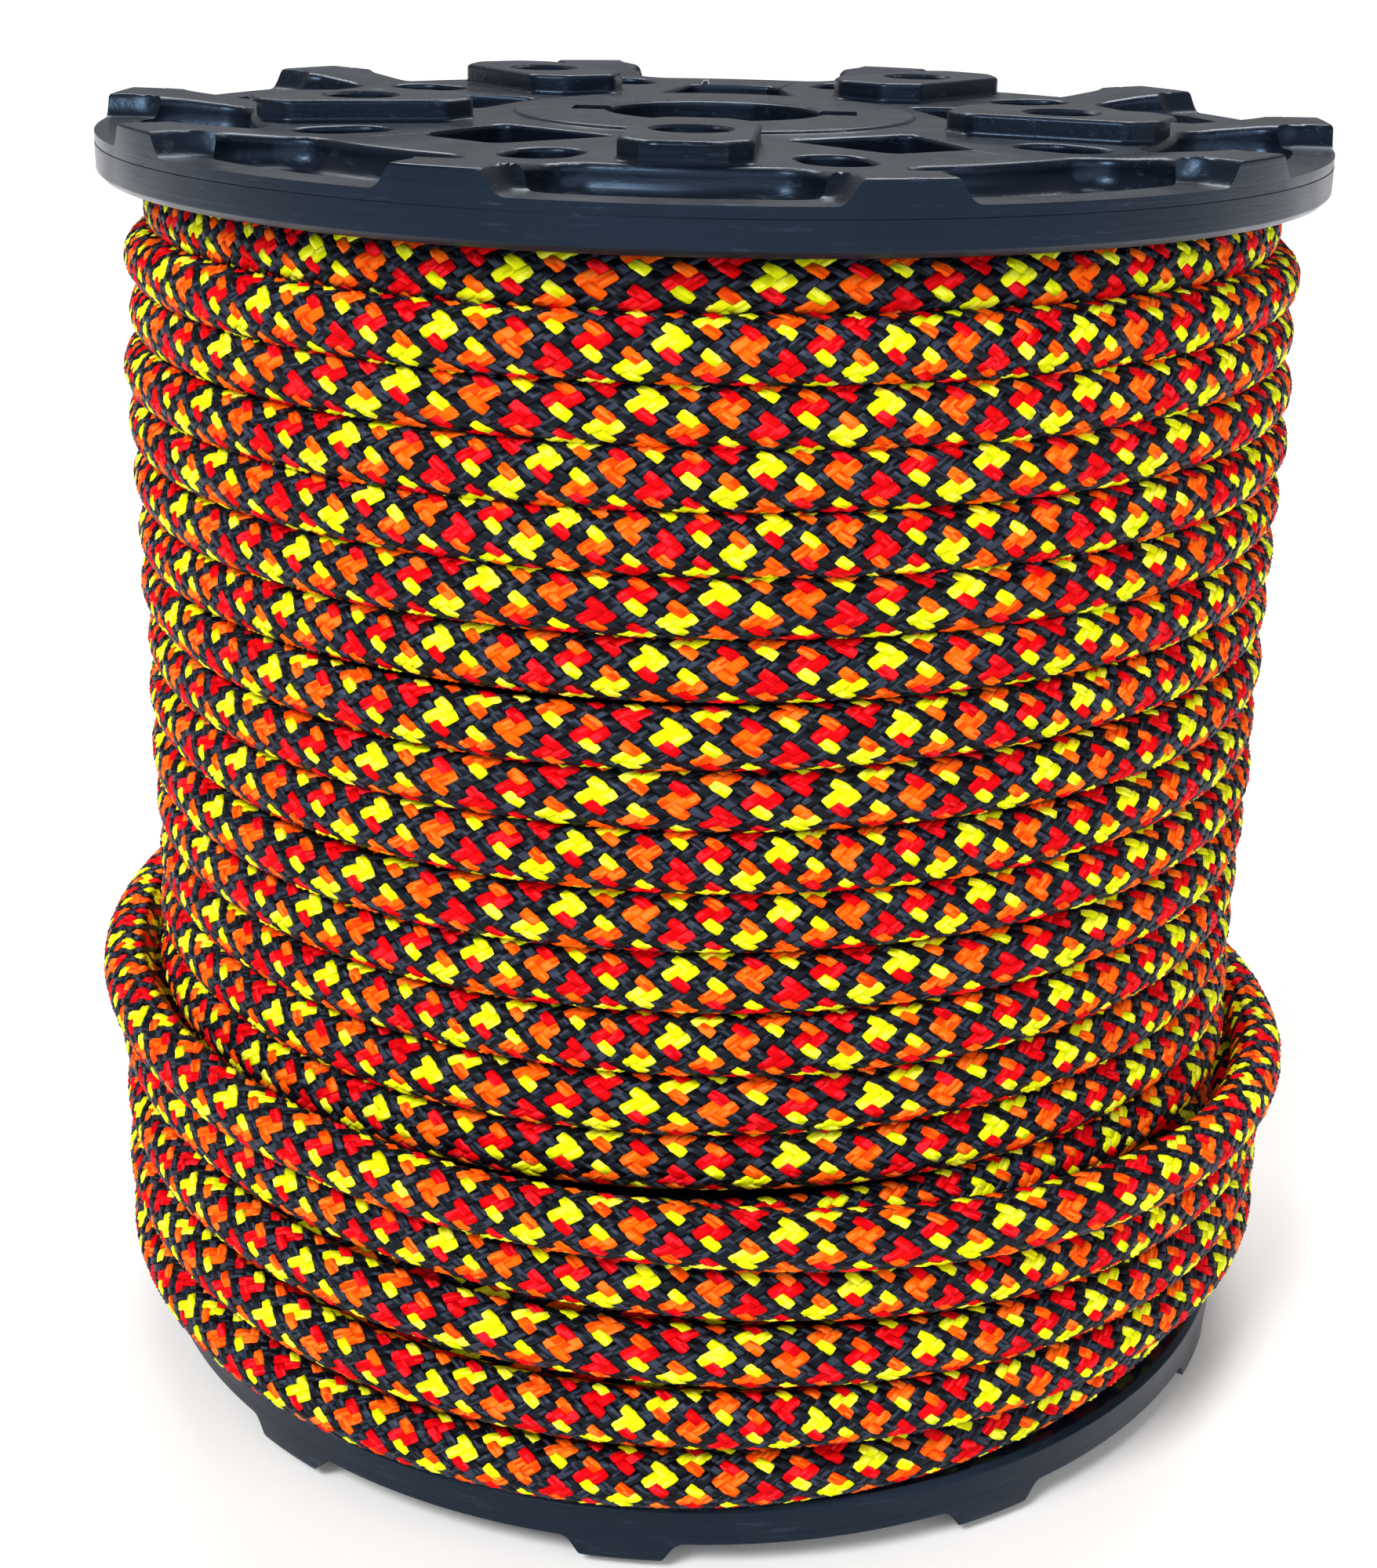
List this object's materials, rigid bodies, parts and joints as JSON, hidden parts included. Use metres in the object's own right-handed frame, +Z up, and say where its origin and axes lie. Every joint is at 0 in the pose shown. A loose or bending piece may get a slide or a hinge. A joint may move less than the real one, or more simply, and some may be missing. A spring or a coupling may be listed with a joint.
{
  "type": "dynamic climbing rope on a reel",
  "caption": "Braided dynamic climbing rope wound in layers on a black flanged plastic reel with a central arbor bore, standing upright on one flange.",
  "frame": {"origin": "on the reel's axis, on the floor plane under the lower flange's boss faces", "axes": "+Z up along the reel's axis, -Y to the front, +X to the right"},
  "size_m": [0.2483, 0.2475, 0.2498],
  "materials": {
    "reel_plastic": "black moulded polymer with a soft gloss, fine turning lines and light scuffs on the rims",
    "barrel_plastic": "plain black moulded polymer",
    "zinc_steel": "bright zinc-plated steel",
    "rope_sheath": "braided nylon sheath of black yarn with fluorescent yellow, orange and red marker yarns",
    "rope_end": "black heat-shrink sleeve over the cut end"
  },
  "bodies": {
    "root": {"upper_flange": "reel_plastic", "lower_flange": "reel_plastic", "barrel": "barrel_plastic", "upper_washer_1": "zinc_steel", "upper_bolt_1": "zinc_steel", "upper_washer_2": "zinc_steel", "upper_bolt_2": "zinc_steel", "upper_washer_3": "zinc_steel", "upper_bolt_3": "zinc_steel", "upper_washer_4": "zinc_steel", "upper_bolt_4": "zinc_steel", "upper_washer_5": "zinc_steel", "upper_bolt_5": "zinc_steel", "lower_washer_1": "zinc_steel", "lower_bolt_1": "zinc_steel", "lower_washer_2": "zinc_steel", "lower_bolt_2": "zinc_steel", "lower_washer_3": "zinc_steel", "lower_bolt_3": "zinc_steel", "lower_washer_4": "zinc_steel", "lower_bolt_4": "zinc_steel", "lower_washer_5": "zinc_steel", "lower_bolt_5": "zinc_steel", "rope_full_layers": "rope_sheath", "rope_outer_layer": "rope_sheath", "rope_last_turn": "rope_sheath", "rope_end_sleeve": "rope_end"}
  },
  "joints": []
}
